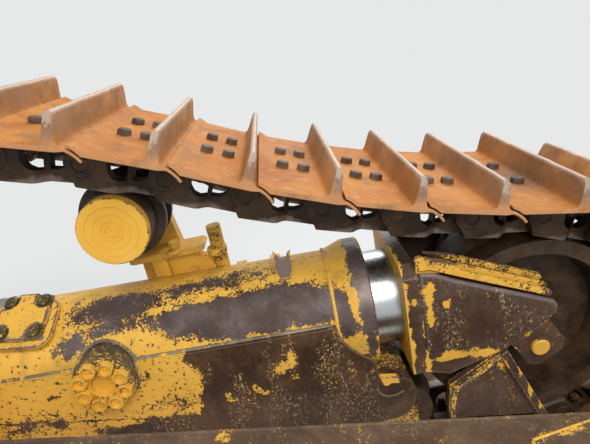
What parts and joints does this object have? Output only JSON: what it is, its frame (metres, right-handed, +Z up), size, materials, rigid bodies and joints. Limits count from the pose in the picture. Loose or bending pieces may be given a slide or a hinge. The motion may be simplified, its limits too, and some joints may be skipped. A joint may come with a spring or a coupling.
{
  "type": "bulldozer crawler track unit",
  "caption": "One side's raised-sprocket crawler track of a bulldozer, with roller frame, recoil tube, idlers, rollers, closed track and hinged push arm.",
  "frame": {"origin": "on the pivot shaft's axis, in the middle of its seat, on the machine's side of the track", "axes": "+X to the machine's front, +Y across to the machine's other side, along the pivot shaft, +Z up"},
  "size_m": [4.78, 1.198, 1.9964],
  "materials": {
    "shoe_steel": "rusted, bright on the bars' tips",
    "chain_steel": "dark, oily and rusted",
    "wheel_steel": "dark brown, polished treads",
    "tooth_steel": "rusted with polished hollows",
    "bright_steel": "polished",
    "fork_paint": "yellow paint worn to brown steel",
    "bogie_paint": "dirty yellow paint worn to brown steel",
    "arm_paint": "yellow paint, worn brown on top",
    "frame_paint": "yellow paint with chips and wear"
  },
  "bodies": {
    "track_unit": {"bogie_1": "bogie_paint", "bogie_2": "bogie_paint", "bogie_3": "bogie_paint", "bogie_4": "bogie_paint", "boss_cap": "frame_paint", "carrier_bracket": "frame_paint", "carrier_cap": "frame_paint", "carrier_roller": "wheel_steel", "cover_pad": "frame_paint", "equalizer_bracket": "frame_paint", "final_drive": "frame_paint", "fork_guards": "fork_paint", "front_fork": "fork_paint", "front_idler": "wheel_steel", "front_idler_axle": "fork_paint", "inspection_cover": "frame_paint", "pivot_shaft": "bright_steel", "rear_fork": "frame_paint", "rear_idler": "wheel_steel", "rear_idler_axle": "fork_paint", "recoil_piston": "bright_steel", "recoil_tube": "frame_paint", "roller_frame": "frame_paint", "sprocket_hub": "frame_paint", "sprocket_segment_1": "tooth_steel", "sprocket_segment_2": "tooth_steel", "sprocket_segment_3": "tooth_steel", "sprocket_segment_4": "tooth_steel", "sprocket_segment_5": "tooth_steel", "track_bushings": "chain_steel", "track_links_inner": "chain_steel", "track_links_outer": "chain_steel", "track_roller_1": "wheel_steel", "track_roller_2": "wheel_steel", "track_roller_3": "wheel_steel", "track_roller_4": "wheel_steel", "track_roller_5": "wheel_steel", "track_roller_6": "wheel_steel", "track_roller_7": "wheel_steel", "track_roller_8": "wheel_steel", "track_shoes": "shoe_steel", "trunnion": "frame_paint", "trunnion_cap": "frame_paint"},
    "push_arm": {"push_arm": "arm_paint"}
  },
  "joints": [
    {"name": "push_arm_swing", "type": "hinge", "parent": "track_unit", "child": "push_arm", "pos_m": [0.215, -0.98, 0.066], "axis": [0, -1, 0], "range_deg": [-11, 26]}
  ]
}
